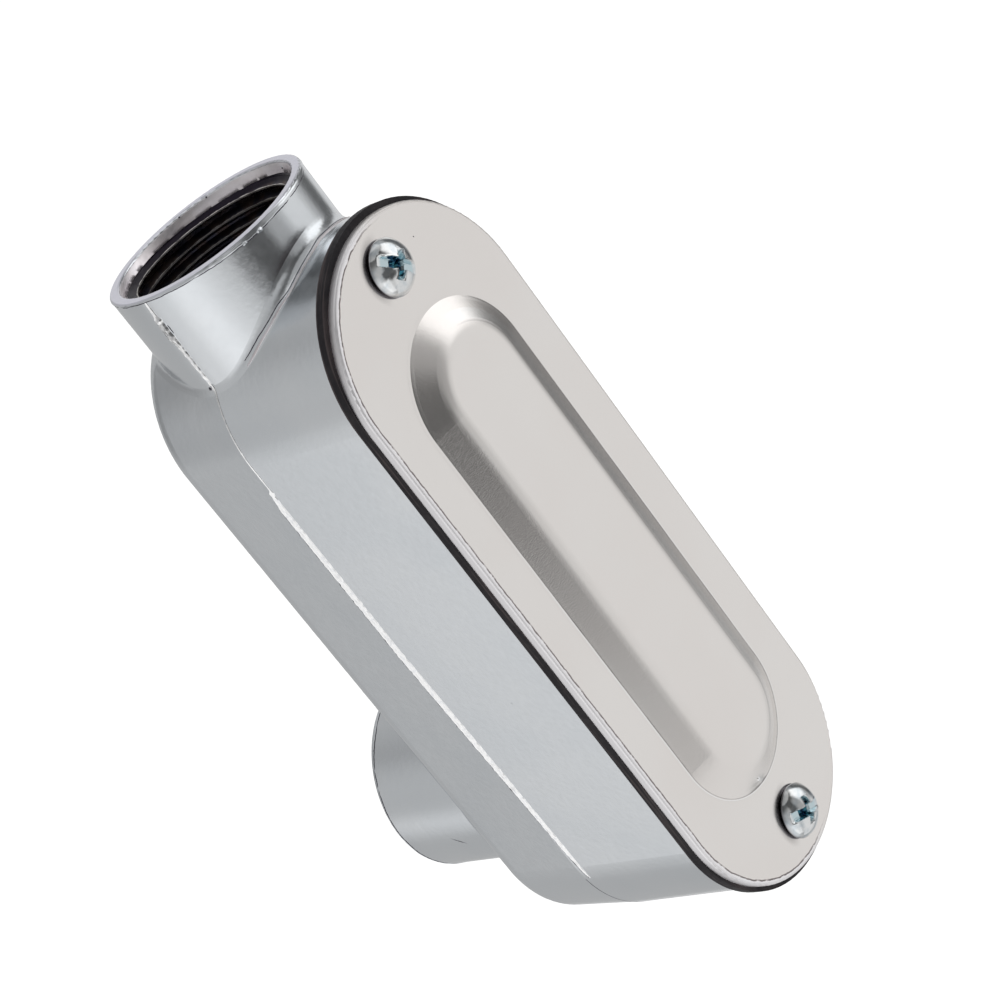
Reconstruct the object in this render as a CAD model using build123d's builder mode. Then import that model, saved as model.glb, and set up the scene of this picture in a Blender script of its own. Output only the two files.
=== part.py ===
from build123d import *
import os
from math import cos, radians, sin, sqrt

# A right-angle conduit body with a removable cover: a hollow die casting with two threaded hubs,
# a flat gasket, a stamped cover with a raised panel, and two pan head screws.
# Millimetres. The upper hub points up, the cover faces -Y and the rear hub points to +Y.
# The origin is the centre of the upper hub's mouth.

# Cover
cover_width = 37.6
cover_length = 113.0
cover_thickness = 1.25
cover_edge_radius = 0.3
cover_face_depth = 23.4            # from the upper hub's axis to the cover's outer face
panel_side_margin = 6.4            # from the cover's edge to the foot of the raised panel
panel_end_margin = 13.7
panel_rise = 2.0
panel_slope = 24.6                 # degrees
panel_foot_radius = 2.6
panel_shoulder_radius = 5.6

# Gasket
gasket_thickness = 1.45
gasket_side_lip = 0.1              # how far it shows past the cover
gasket_end_lip = 0.95
gasket_inner_lip = 0.5             # how far it reaches in past the casting's wall
gasket_screw_land = 4.4            # from a screw's axis to the gasket's opening
gasket_corner_radius = 3.0

# Casting
rim_side_inset = 0.32              # the casting's rim is narrower than the cover
rim_end_lip = 0.25                 # and longer
parting_step = 0.06                # the die halves don't quite match: the back half is smaller
front_draft = 0.29                 # growth of each wall from the rim to the parting plane
back_side_draft = 1.0              # shrinkage of each side wall from the parting plane to the back
back_end_draft = 0.5
back_edge_radius = 3.5
back_overhang = 0.1                # the back stands out past the upper hub
wall = 2.4
back_wall = 2.6
cavity_draft = 0.9                 # shrinkage of each inner wall from the rim to the floor
cavity_floor_radius = 1.5

# Hubs
thread_root_diameter = 26.6
thread_length = 9.1
mouth_lead_in = 0.55               # the smooth mouth is this much wider all round than the thread's root
mouth_depth = 1.9
hub_wall = 1.55                    # round the mouth
throat_ledge = 2.85                # from the thread's root in to the smooth throat
throat_edge_radius = 1.4
throat_margin = 0.3                # the hollow is this much wider than the throat's rounded inner end
hub_stand_out = 7.1                # from the casting's end to the upper hub's mouth
rear_hub_reach = 32.2              # from the upper hub's axis to the rear hub's mouth
rear_hub_to_end = 26.1             # from the casting's lower end to the rear hub's axis
hub_blend_radius = 2.2
hub_rim_radius = 0.3

# Cover screws
screw_end_margin = 6.5             # from the cover's end to a screw's axis
screw_diameter = 4.16
screw_tip_chamfer = 0.5
head_diameter = 7.9
head_side_height = 0.85
head_dome_height = 1.85
head_edge_radius = 0.35
slot_width = 1.35
slot_depth = 1.3
cross_width = 1.2
cross_span = 4.0
cross_depth = 2.2
cross_taper = 9.0                  # degrees
upper_slot_angle = -48.0           # degrees
lower_slot_angle = -23.0
screw_fit_clearance = 0.05         # radial, between a screw and its tapped hole
cover_hole_clearance = 0.35        # radial
screw_hole_spare = 0.3             # depth left below a screw's tip
screw_web = 0.35                   # metal between the upper hub's thread and a screw's hole
boss_diameter = 8.4
boss_margin = 0.25                 # from a boss's floor to the throat's rounded inner end

# Places that follow from the sizes above
overlap = 0.5                      # how far a cutter or a stage runs past the face that it meets
rim_depth = cover_thickness + gasket_thickness
rim_width = cover_width - 2 * rim_side_inset
rim_length = cover_length + 2 * rim_end_lip
parting_width = rim_width + 2 * front_draft
parting_length = rim_length + 2 * front_draft
back_width = parting_width - 2 * back_side_draft
back_length = parting_length - 2 * back_end_draft
root_radius = thread_root_diameter / 2
mouth_radius = root_radius + mouth_lead_in
throat_radius = root_radius - throat_ledge
hub_radius = mouth_radius + hub_wall
back_depth = cover_face_depth + hub_radius + back_overhang
floor_depth = back_depth - back_wall
middle_z = -(hub_stand_out + parting_length / 2)
rear_hub_z = middle_z - parting_length / 2 + rear_hub_to_end
screw_offset = cover_length / 2 - screw_end_margin
screw_places = [(0, screw_offset), (0, -screw_offset)]
screw_hole_depth = cover_face_depth - root_radius - screw_web
screw_length = screw_hole_depth - screw_hole_spare
boss_depth = cover_face_depth - throat_radius - throat_edge_radius - boss_margin
throat_start = mouth_depth + thread_length
rear_hub_depth = cover_face_depth + rear_hub_reach - floor_depth

# The upper throat runs in as far as it takes for the hollow's round end to be wider than its inner end
floor_radius = rim_width / 2 - wall - cavity_draft
floor_arc_depth = -(middle_z + (rim_length - rim_width) / 2)
throat_mouth_radius = throat_radius + throat_edge_radius + throat_margin
upper_hub_depth = floor_arc_depth - sqrt(floor_radius**2 - throat_mouth_radius**2)
throat_rounding = min(throat_edge_radius, floor_radius - cavity_floor_radius - throat_radius - overlap / 2)


def face_plane(depth):
    """The plane a depth below the cover's face: local x is +X, local y is +Z, and it faces out, to -Y."""
    return Plane(origin=(0, depth - cover_face_depth, middle_z), x_dir=(1, 0, 0), z_dir=(0, -1, 0))


def section_plane(z):
    """The plane across the object at a height: local x is +X, local y is out of the cover."""
    return Plane(origin=(0, -cover_face_depth, z), x_dir=(1, 0, 0), z_dir=(0, 0, -1))


def upright_slot(length, width, mode=Mode.ADD):
    SlotOverall(length, width, rotation=90, mode=mode)


def panel_side(drop):
    """One side of the raised panel's section, a given depth below its outer skin. Gives its two ends."""
    angle = radians(panel_slope)
    bends = panel_foot_radius + panel_shoulder_radius
    straight = (panel_rise - bends * (1 - cos(angle))) / sin(angle)
    foot = cover_width / 2 - panel_side_margin
    flat = foot - bends * sin(angle) - straight * cos(angle)
    top = Line((0, panel_rise - drop), (flat, panel_rise - drop))
    shoulder = JernArc(top @ 1, (1, 0), panel_shoulder_radius - drop, -panel_slope)
    slope = Line(shoulder @ 1, shoulder @ 1 + (shoulder % 1) * straight)
    foot_bend = JernArc(slope @ 1, slope % 1, panel_foot_radius + drop, panel_slope)
    return top @ 0, foot_bend @ 1


def half_panel_section():
    """Half of the stamped sheet's section across the raised panel."""
    with BuildLine() as outline:
        outer_top, outer_foot = panel_side(0)
        inner_top, inner_foot = panel_side(cover_thickness)
        Line(outer_top, inner_top)
        Line(outer_foot, inner_foot)
    make_face(outline.edges())


os.makedirs("parts", exist_ok=True)

# The stamped cover: a flat rim with the raised panel let into it
panel_straight = (cover_length - 2 * panel_end_margin) - (cover_width - 2 * panel_side_margin)
with BuildPart() as cover_plate:
    with BuildSketch(face_plane(cover_thickness)):
        upright_slot(cover_length, cover_width)
        with Locations(*screw_places):
            Circle(screw_diameter / 2 + cover_hole_clearance, mode=Mode.SUBTRACT)
    extrude(amount=cover_thickness)
    fillet(faces().sort_by(Axis.Y)[0].outer_wire().edges(), cover_edge_radius)
    with BuildSketch(face_plane(cover_thickness)):
        upright_slot(cover_length - 2 * panel_end_margin, cover_width - 2 * panel_side_margin)
    extrude(amount=cover_thickness, mode=Mode.SUBTRACT)
    with BuildSketch(section_plane(middle_z + panel_straight / 2)):
        half_panel_section()
        mirror(about=Plane.YZ)
    extrude(amount=panel_straight)
    for side in (1, -1):
        end_z = middle_z + side * panel_straight / 2
        with BuildSketch(section_plane(end_z)):
            half_panel_section()
        revolve(axis=Axis((0, 0, end_z), (0, -side, 0)), revolution_arc=180)
cover_plate.part.label = "cover_plate"
export_step(cover_plate.part, "parts/cover_plate.step")

# The gasket: a flat ring, with a full land round each screw
with BuildPart() as gasket:
    with BuildSketch(face_plane(rim_depth)):
        upright_slot(cover_length + 2 * gasket_end_lip, cover_width + 2 * gasket_side_lip)
        with BuildSketch(mode=Mode.SUBTRACT) as opening:
            inset = 2 * (wall + gasket_inner_lip)
            upright_slot(rim_length - inset, rim_width - inset)
            Rectangle(rim_width, 2 * (screw_offset - gasket_screw_land), mode=Mode.INTERSECT)
            corners = opening.vertices().group_by(Axis.Y)
            fillet(corners[0] + corners[-1], gasket_corner_radius)
        with Locations(*screw_places):
            Circle(screw_diameter / 2 + cover_hole_clearance, mode=Mode.SUBTRACT)
    extrude(amount=gasket_thickness)
gasket.part.label = "gasket"
export_step(gasket.part, "parts/gasket.step")

# The hollow inside the casting, less the screw bosses and the inner end of the upper hub
with BuildPart() as hollow:
    with BuildSketch(face_plane(rim_depth - overlap)):
        upright_slot(rim_length - 2 * wall, rim_width - 2 * wall)
    with BuildSketch(face_plane(floor_depth)):
        shrink = 2 * (wall + cavity_draft)
        upright_slot(rim_length - shrink, rim_width - shrink)
    loft()
    fillet(faces().sort_by(Axis.Y)[-1].edges(), cavity_floor_radius)
    with BuildSketch(face_plane(boss_depth)):
        for side in (1, -1):
            with Locations((0, side * screw_offset)):
                Circle(boss_diameter / 2)
            with Locations((0, side * (screw_offset + screw_end_margin))):
                Rectangle(boss_diameter, 2 * screw_end_margin)
    extrude(amount=boss_depth, mode=Mode.SUBTRACT)
    with BuildSketch(Plane.XY.offset(-upper_hub_depth)):
        Circle(hub_radius)
    extrude(amount=upper_hub_depth, mode=Mode.SUBTRACT)


def half_disc(side):
    """The upper hub's section on the cover's side of its axis (-1) or on the back's side (1)."""
    with BuildSketch(Plane.XY) as half:
        Circle(hub_radius)
        with Locations((0, side * hub_radius)):
            Rectangle(2 * hub_radius, 2 * hub_radius, mode=Mode.INTERSECT)
    return half.sketch


def hub_bore(mouth, depth):
    """Cuts a hub's mouth, thread root and throat. The mouth plane's local y runs out along the hub's axis."""
    with BuildSketch(mouth) as bore:
        with BuildLine():
            Polyline(
                (0, overlap), (mouth_radius, overlap), (mouth_radius, mouth_lead_in - mouth_depth),
                (root_radius, -mouth_depth), (root_radius, -throat_start), (throat_radius, -throat_start),
                (throat_radius, -depth - overlap), (0, -depth - overlap), close=True,
            )
        make_face()
    revolve(bore.sketch, axis=Axis(mouth.origin, mouth.y_dir), mode=Mode.SUBTRACT)


# The casting's front half, from the rim to the parting plane, with its half of the upper hub
hub_run = hub_stand_out + parting_width / 2
with BuildPart() as front_half:
    with BuildSketch(face_plane(rim_depth)):
        upright_slot(rim_length, rim_width)
    with BuildSketch(face_plane(cover_face_depth)):
        upright_slot(parting_length, parting_width)
    loft()
    extrude(half_disc(-1), amount=-hub_run)
    fillet(front_half.edges(Select.NEW), hub_blend_radius)

# Its back half, with the rest of the upper hub and the whole rear hub
with BuildPart() as back_half:
    with BuildSketch(face_plane(cover_face_depth)):
        upright_slot(parting_length - 2 * parting_step, parting_width - 2 * parting_step)
    with BuildSketch(face_plane(back_depth)):
        upright_slot(back_length, back_width)
    loft()
    fillet(faces().sort_by(Axis.Y)[-1].edges(), back_edge_radius)
    extrude(half_disc(1), amount=-hub_run)
    fillet(back_half.edges(Select.NEW), hub_blend_radius)
    with BuildSketch(Plane.XZ.offset(-rear_hub_reach)):
        with Locations((0, rear_hub_z)):
            Circle(hub_radius)
    extrude(amount=rear_hub_reach - hub_radius / 2)
    crease = back_half.edges(Select.NEW).filter_by(lambda edge: edge.center().Y < back_depth)
    fillet(crease, hub_blend_radius)

# The whole casting: both halves, hollowed, bored through its hubs and tapped for the cover screws
with BuildPart() as casting:
    add(front_half.part)
    add(back_half.part)
    add(hollow.part, mode=Mode.SUBTRACT)
    hub_bore(Plane.XZ, upper_hub_depth)
    hub_bore(Plane(origin=(0, rear_hub_reach, rear_hub_z), x_dir=(1, 0, 0), z_dir=(0, 0, 1)), rear_hub_depth)
    circles = casting.edges().filter_by(GeomType.CIRCLE)
    fillet(circles.filter_by(lambda edge: abs(edge.radius - throat_radius) < 0.01), throat_rounding)
    edges_at_mouths = casting.edges().group_by(Axis.Z)[-1] + casting.edges().group_by(Axis.Y)[-1]
    fillet(edges_at_mouths, hub_rim_radius)
    with BuildSketch(face_plane(screw_hole_depth)):
        with Locations(*screw_places):
            Circle(screw_diameter / 2 + screw_fit_clearance)
    extrude(amount=screw_hole_depth - rim_depth + overlap, mode=Mode.SUBTRACT)
casting.part.label = "casting"
export_step(casting.part, "parts/casting.step")


def cover_screw(side, slot_angle):
    """A pan head screw with a combination slot and cross recess, seated on the cover."""
    head_radius = head_diameter / 2
    shank_radius = screw_diameter / 2
    head_height = head_side_height + head_dome_height
    axis_plane = section_plane(middle_z + side * screw_offset)
    with BuildPart() as screw:
        with BuildSketch(axis_plane):
            with BuildLine():
                sides = Polyline(
                    (0, head_height), (0, -screw_length), (shank_radius, -screw_length), (shank_radius, 0),
                    (head_radius, 0), (head_radius, head_side_height),
                )
                TangentArc(sides @ 0, sides @ 1, tangent=(1, 0))
            make_face()
        revolve(axis=Axis(axis_plane.origin, axis_plane.y_dir))
        circles = screw.edges().filter_by(GeomType.CIRCLE)
        head_circles = circles.filter_by(lambda edge: abs(edge.radius - head_radius) < 0.01)
        fillet(head_circles.sort_by(Axis.Y)[0], head_edge_radius)
        chamfer(circles.sort_by(Axis.Y)[-1], screw_tip_chamfer)
        with BuildSketch(face_plane(-head_height)):
            with Locations((0, side * screw_offset)):
                Rectangle(cross_span, cross_width, rotation=slot_angle)
                Rectangle(cross_width, cross_span, rotation=slot_angle)
        extrude(amount=-cross_depth, taper=cross_taper, mode=Mode.SUBTRACT)
        with BuildSketch(face_plane(-head_height)):
            with Locations((0, side * screw_offset)):
                Rectangle(head_diameter + 2 * overlap, slot_width, rotation=slot_angle)
        extrude(amount=-slot_depth, mode=Mode.SUBTRACT)
    return screw


upper_screw = cover_screw(1, upper_slot_angle)
upper_screw.part.label = "upper_screw"
export_step(upper_screw.part, "parts/upper_screw.step")

lower_screw = cover_screw(-1, lower_slot_angle)
lower_screw.part.label = "lower_screw"
export_step(lower_screw.part, "parts/lower_screw.step")
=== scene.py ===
import math

import bmesh
import bpy
from mathutils import Matrix, Vector, noise
from mathutils.bvhtree import BVHTree


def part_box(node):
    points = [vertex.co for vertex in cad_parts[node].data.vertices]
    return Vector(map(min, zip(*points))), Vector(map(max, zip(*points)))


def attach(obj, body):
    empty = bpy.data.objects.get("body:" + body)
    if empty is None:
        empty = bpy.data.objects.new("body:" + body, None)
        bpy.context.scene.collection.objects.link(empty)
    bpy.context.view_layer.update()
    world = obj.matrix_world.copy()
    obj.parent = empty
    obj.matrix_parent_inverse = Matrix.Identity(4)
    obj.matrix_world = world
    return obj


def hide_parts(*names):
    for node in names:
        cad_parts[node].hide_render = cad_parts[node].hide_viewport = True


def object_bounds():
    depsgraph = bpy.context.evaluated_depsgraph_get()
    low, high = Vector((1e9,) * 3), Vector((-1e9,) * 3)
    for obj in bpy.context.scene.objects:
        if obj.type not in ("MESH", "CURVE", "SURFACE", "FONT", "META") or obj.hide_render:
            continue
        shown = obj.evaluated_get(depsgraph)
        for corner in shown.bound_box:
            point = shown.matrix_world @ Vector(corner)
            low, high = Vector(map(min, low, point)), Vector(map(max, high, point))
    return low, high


# A right-angle conduit body: a satin die casting with two threaded hubs, a black gasket,
# a stamped cover with a raised panel, and two zinc-plated pan head screws.
# Everything is in metres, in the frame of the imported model: the upper hub's mouth is the
# origin and faces +Z, the cover faces -Y and the rear hub +Y.

MM = 0.001

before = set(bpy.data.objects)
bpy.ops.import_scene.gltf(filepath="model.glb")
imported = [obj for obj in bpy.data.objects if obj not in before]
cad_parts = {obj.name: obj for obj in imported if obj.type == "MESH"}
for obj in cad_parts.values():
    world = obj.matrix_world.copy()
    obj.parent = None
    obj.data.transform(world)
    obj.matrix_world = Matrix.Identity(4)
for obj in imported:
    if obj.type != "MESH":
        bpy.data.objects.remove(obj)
cad_low, cad_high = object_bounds()
bpy.context.scene.view_settings.view_transform = "Standard"

# Sizes of the solids that the added details follow
MOUTH_RADIUS = 13.85 * MM
THREAD_ROOT_RADIUS = 13.3 * MM
THREAD_START_DEPTH = 1.9 * MM
THREAD_END_DEPTH = 11.0 * MM
HUB_RADIUS = 15.4 * MM
REAR_HUB_AXIS_Z = -95.08 * MM
COVER_FACE_Y = -23.4 * MM
PANEL_HALF_WIDTH = 12.4 * MM  # the outline of the raised panel's foot
PANEL_HALF_RUN = 30.4 * MM
SCREW_PLACES = (-14.14 * MM, -114.14 * MM)

casting_low, casting_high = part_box("casting")
cover_low, cover_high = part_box("cover_plate")
rear_hub_mouth_y = casting_high.y


# Camera and stage

CAMERA_PLACE = (-0.21965, -0.25245, 0.08607)
CAMERA_RIGHT = (0.42462, -0.71266, -0.55840)
CAMERA_UP = (0.65688, -0.18194, 0.73171)
CAMERA_LENS = 94.4
CAMERA_SENSOR = 36.0
CAMERA_CLIP = (0.01, 60.0)

FLOOR_DROP = 0.12  # from the part's lowest point down to the floor
FLOOR_REACH = 9.0
FLOOR_GREY = 0.80
FLOOR_GLOW = 0.75  # light of its own that only the camera sees

TOP_LIGHT_PLACE = (0.10, -0.10, 0.9)
TOP_LIGHT_SIZE = 1.2
TOP_LIGHT_WATTS = 1.0


def make_camera():
    data = bpy.data.cameras.new("photo_camera")
    camera = bpy.data.objects.new("photo_camera", data)
    bpy.context.scene.collection.objects.link(camera)
    right = Vector(CAMERA_RIGHT).normalized()
    up = Vector(CAMERA_UP)
    up = (up - right * up.dot(right)).normalized()
    back = right.cross(up)
    turn = Matrix((right, up, back)).transposed().to_4x4()
    camera.matrix_world = Matrix.Translation(CAMERA_PLACE) @ turn
    data.sensor_width = CAMERA_SENSOR
    data.lens = CAMERA_LENS
    data.clip_start, data.clip_end = CAMERA_CLIP
    bpy.context.scene.camera = camera


# Node helpers

def new_material(name):
    material = bpy.data.materials.new(name)
    material.use_nodes = True
    material.node_tree.nodes.clear()
    return material


def add_node(tree, kind, links=None, **values):
    """A new node of that kind. values set its properties, links its inputs."""
    node = tree.nodes.new(kind)
    for key, value in values.items():
        setattr(node, key, value)
    for key, value in (links or {}).items():
        socket = node.inputs[key]
        if isinstance(value, bpy.types.NodeSocket):
            tree.links.new(value, socket)
        else:
            socket.default_value = value
    return node


def node_after(kind, links, **values):
    """A new node in the node tree of the sockets among its links."""
    sockets = [value for value in links.values() if isinstance(value, bpy.types.NodeSocket)]
    return add_node(sockets[0].id_data, kind, links, **values)


def maths(operation, a, b=0.0, clamp=False):
    node = node_after("ShaderNodeMath", {0: a, 1: b}, operation=operation, use_clamp=clamp)
    return node.outputs[0]


def rising(value, low, high, out_low=0.0, out_high=1.0):
    """From out_low to out_high while the value goes from low to high, eased at both ends."""
    node = node_after("ShaderNodeMapRange", {
        "Value": value, "From Min": low, "From Max": high,
        "To Min": out_low, "To Max": out_high,
    }, interpolation_type="SMOOTHSTEP")
    return node.outputs["Result"]


def falling(value, low, high, start=1.0):
    return rising(value, low, high, start, 0.0)


def minus(first, second):
    return maths("SUBTRACT", first, second)


def product(*values):
    total = values[0]
    for value in values[1:]:
        total = maths("MULTIPLY", total, value)
    return total


def split(vector):
    """The x, y and z of a vector."""
    return node_after("ShaderNodeSeparateXYZ", {0: vector}).outputs


def rgb(red, green, blue):
    return (red, green, blue, 1.0)


def grey(level):
    return rgb(level, level, level)


# The studio: a pale room with soft boxes and black flags round the part. Angles are in
# degrees, sideways from the cover's side (-Y) towards the right (+X) and upwards from the
# horizon. Each entry has its left and right, bottom and top edges, how soft they are
# sideways and upwards, and the light it adds.
ROOM_LIGHT = 0.45
ROOM_DARKEST = 0.09
PAGE_LIGHT = 1.0  # what the camera itself sees instead
ROOM_FEATURES = (
    ("left_box", -122, -62, -75, -2, 60, 40, 0.55),
    ("left_low_box", -144, -125, -37, -14, 14, 16, 0.20),
    ("back_left_dim", -190, -149, -8, 38, 28, 20, -0.16),
    ("back_left_box", -146, -118, 5, 60, 12, 20, 0.06),
    ("front_left_low_box", -62, -20, -70, -20, 16, 8, 0.42),
    ("front_left_flag", -37, -20, -18, 6, 12, 8, -0.33),
    ("front_flag", -20, 6, -29, 70, 12, 14, -0.33),
    ("front_low_flag", -25, 10, -27, -15, 10, 6, -0.16),
    ("front_flag_edge", 6, 28, -20, 50, 12, 14, -0.08),
    ("front_ceiling_dim", -80, 60, 35, 100, 40, 30, -0.33),
    ("right_box", 34, 74, -1, 45, 14, 14, 0.75),
    ("right_low_box", 32, 66, -22, -1, 14, 14, 0.29),
    ("table", -14, 92, -95, -22, 20, 14, 0.29),
    ("table_right_dim", 66, 100, -70, -18, 20, 12, -0.09),
    ("right_flag", 78, 103, -30, 30, 10, 16, -0.30),
    ("right_back_box", 106, 150, -60, 20, 10, 30, 0.25),
)


def soft_window(angle, low, high, softness):
    """1 where the angle lies between low and high, 0 outside, with soft edges."""
    half = softness / 2
    rise = rising(angle, low - half, low + half)
    fall = falling(angle, high - half, high + half)
    return product(rise, fall)


def make_world():
    world = bpy.data.worlds.new("studio")
    bpy.context.scene.world = world
    world.use_nodes = True
    tree = world.node_tree
    tree.nodes.clear()
    x, y, z = split(add_node(tree, "ShaderNodeTexCoord").outputs["Generated"])
    forward = maths("MULTIPLY", y, -1.0)
    side_angle = maths("DEGREES", maths("ARCTAN2", x, forward))
    height_angle = maths("DEGREES", maths("ARCSINE", z))
    light = ROOM_LIGHT
    for name, left, right, bottom, top, soft_side, soft_up, amount in ROOM_FEATURES:
        across = soft_window(side_angle, left, right, soft_side)
        upward = soft_window(height_angle, bottom, top, soft_up)
        added = product(across, upward, amount)
        added.node.label = name
        light = maths("ADD", added, light)
    light = maths("MAXIMUM", light, ROOM_DARKEST)
    paths = add_node(tree, "ShaderNodeLightPath")
    seen = maths("MAXIMUM", paths.outputs["Is Camera Ray"], paths.outputs["Is Transmission Ray"])
    level = node_after("ShaderNodeMix", {0: seen, 2: light, 3: PAGE_LIGHT}, data_type="FLOAT")
    background = node_after("ShaderNodeBackground", {
        "Color": grey(1.0), "Strength": level.outputs[0],
    })
    node_after("ShaderNodeOutputWorld", {"Surface": background.outputs[0]})


def make_floor():
    """A pale floor that looks like the white page from above and isn't there from below."""
    z = cad_low.z - FLOOR_DROP
    mesh = bpy.data.meshes.new("floor")
    corners = [(across * FLOOR_REACH, along * FLOOR_REACH, z)
               for across, along in ((-1, -1), (1, -1), (1, 1), (-1, 1))]
    mesh.from_pydata(corners, [], [(0, 1, 2, 3)])
    floor = bpy.data.objects.new("floor", mesh)
    bpy.context.scene.collection.objects.link(floor)
    material = new_material("pale_floor")
    tree = material.node_tree
    plain = add_node(tree, "ShaderNodeBsdfDiffuse", {"Color": grey(FLOOR_GREY)})
    glow = add_node(tree, "ShaderNodeEmission", {"Color": grey(1.0), "Strength": FLOOR_GLOW})
    both = node_after("ShaderNodeAddShader", {0: plain.outputs[0], 1: glow.outputs[0]})
    paths = add_node(tree, "ShaderNodeLightPath")
    lit = node_after("ShaderNodeMixShader", {
        0: paths.outputs["Is Camera Ray"], 1: plain.outputs[0], 2: both.outputs[0],
    })
    clear = add_node(tree, "ShaderNodeBsdfTransparent")
    sides = add_node(tree, "ShaderNodeNewGeometry")
    from_above = node_after("ShaderNodeMixShader", {
        0: sides.outputs["Backfacing"], 1: lit.outputs[0], 2: clear.outputs[0],
    })
    node_after("ShaderNodeOutputMaterial", {"Surface": from_above.outputs[0]})
    mesh.materials.append(material)
    floor.visible_glossy = False


def make_top_light():
    data = bpy.data.lights.new("top_soft_light", "AREA")
    data.shape = "DISK"
    data.size = TOP_LIGHT_SIZE
    data.energy = TOP_LIGHT_WATTS
    light = bpy.data.objects.new("top_soft_light", data)
    bpy.context.scene.collection.objects.link(light)
    light.location = TOP_LIGHT_PLACE
    toward = (cad_low + cad_high) / 2 - Vector(TOP_LIGHT_PLACE)
    light.rotation_mode = "QUATERNION"
    light.rotation_quaternion = toward.to_track_quat("-Z", "Y")


# Materials

NOISE_RANGE = (0.3, 0.7)  # nearly all values of a noise texture lie in it


def surface_point(material):
    return add_node(material.node_tree, "ShaderNodeTexCoord").outputs["Object"]


def noise_at(point, scale, detail=2.0, roughness=0.5):
    node = node_after("ShaderNodeTexNoise", {
        "Vector": point, "Scale": scale, "Detail": detail, "Roughness": roughness,
    })
    return node.outputs["Fac"]


def by_noise(field, low, high):
    """A value that goes from low to high with the noise."""
    return rising(field, *NOISE_RANGE, low, high)


def blend(share, first, second):
    node = node_after("ShaderNodeMix", {0: share, 6: first, 7: second}, data_type="RGBA")
    return node.outputs[2]


def two_tone(field, low, high, first, second):
    """The first colour where the noise is under low, the second where it is over high."""
    return blend(rising(field, low, high), first, second)


def bump(height, distance, strength, normal=None):
    links = {"Height": height, "Distance": distance, "Strength": strength}
    if normal is not None:
        links["Normal"] = normal
    return node_after("ShaderNodeBump", links).outputs[0]


def finish(material, colour, roughness, normal, metallic=1.0, specular=0.5):
    """The material, with its nodes brought together in a shader."""
    shader = node_after("ShaderNodeBsdfPrincipled", {
        "Base Color": colour, "Roughness": roughness, "Metallic": metallic, "Normal": normal,
        "Specular IOR Level": specular,
    })
    node_after("ShaderNodeOutputMaterial", {"Surface": shader.outputs[0]})
    return material


def length_of(first, second):
    squares = maths("ADD", product(first, first), product(second, second))
    return maths("SQRT", squares)


# Zones of the two hubs, by the distance from a hub's axis and the depth in its mouth

ZONE_FADES = (0.06 * MM, 0.1 * MM, 0.2 * MM)  # half of the fade at a radius, top and bottom
ABOVE_MOUTH = -0.5 * MM
FACE_MARGIN = 0.2 * MM  # the mouth's flat face, past the hub's radius
FACE_DEPTH = 0.06 * MM
BORE_MARGIN = 0.1 * MM
# Down to this depth in each bore the painted shade is near black
BORE_BLACK_SHADE_DEPTH = 2.4 * MM
CREST_WEAR = (0.03 * MM, 0.16 * MM)  # how far down the crests are worn bright
CREST_END_MARGIN = 1 * MM


def hub_places(point):
    """For the upper and the rear hub: the distance from its axis and the depth in its mouth."""
    x, y, z = split(point)
    upper = (length_of(x, y), maths("MULTIPLY", z, -1.0))
    rear_offset = minus(z, REAR_HUB_AXIS_Z)
    rear = (length_of(x, rear_offset), minus(rear_hub_mouth_y, y))
    return upper, rear


def in_either_hub(hubs, radius, top, bottom):
    """1 in both hubs inside the radius and between two depths, 0 elsewhere."""
    at_radius, at_top, at_bottom = ZONE_FADES
    shares = []
    for distance, depth in hubs:
        inside = falling(distance, radius - at_radius, radius + at_radius)
        below = rising(depth, top - at_top, top + at_top)
        above = falling(depth, bottom - at_bottom, bottom + at_bottom)
        shares.append(product(inside, below, above))
    return maths("MAXIMUM", *shares)


def painted_bore_shade(point, hubs):
    """Painted shade for the bore: patches of dark brown and navy over the cut thread's flanks,
    painted darkest near the mouth.
    """
    patches = noise_at(point, 420.0)
    colour = two_tone(patches, 0.4, 0.6, rgb(0.17, 0.13, 0.12), rgb(0.10, 0.10, 0.135))
    shallow = in_either_hub(hubs, MOUTH_RADIUS + BORE_MARGIN, ABOVE_MOUTH, BORE_BLACK_SHADE_DEPTH)
    return blend(shallow, colour, rgb(0.016, 0.012, 0.022))


CAST_RIM_HIGHLIGHT = (0.14 * MM, 0.30 * MM)  # the painted highlight on the casting's rim fades this far behind its front


def cast_aluminium():
    material = new_material("satin_cast_aluminium")
    point = surface_point(material)
    clouds = noise_at(point, 60.0, 3.0)
    grain = noise_at(point, 900.0, 3.0, 0.6)
    fine_grain = noise_at(point, 4500.0, 2.0, 0.6)
    orange_peel = noise_at(point, 1300.0, 1.5, 0.45)
    colour = two_tone(clouds, 0.35, 0.65, rgb(0.78, 0.81, 0.84), rgb(0.81, 0.835, 0.86))
    hubs = hub_places(point)
    face = in_either_hub(hubs, HUB_RADIUS + FACE_MARGIN, ABOVE_MOUTH, FACE_DEPTH)
    colour = blend(face, colour, rgb(0.83, 0.82, 0.95))
    # The bore is coloured with painted shade
    bore = in_either_hub(hubs, MOUTH_RADIUS + BORE_MARGIN, MOUTH_BAND_DEPTH, THREAD_END_DEPTH)
    colour = blend(bore, colour, painted_bore_shade(point, hubs))
    # Painted highlight: near white along the casting's front rim
    rim_start, rim_end = (casting_low.y + reach for reach in CAST_RIM_HIGHLIGHT)
    rim = falling(split(point)["Y"], rim_start, rim_end, 0.9)
    colour = blend(rim, colour, rgb(0.99, 0.95, 0.97))
    normal = bump(orange_peel, 0.00004, 0.25)
    normal = bump(fine_grain, 0.00001, 0.35, normal)
    return finish(material, colour, by_noise(grain, 0.15, 0.21), normal)


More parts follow.
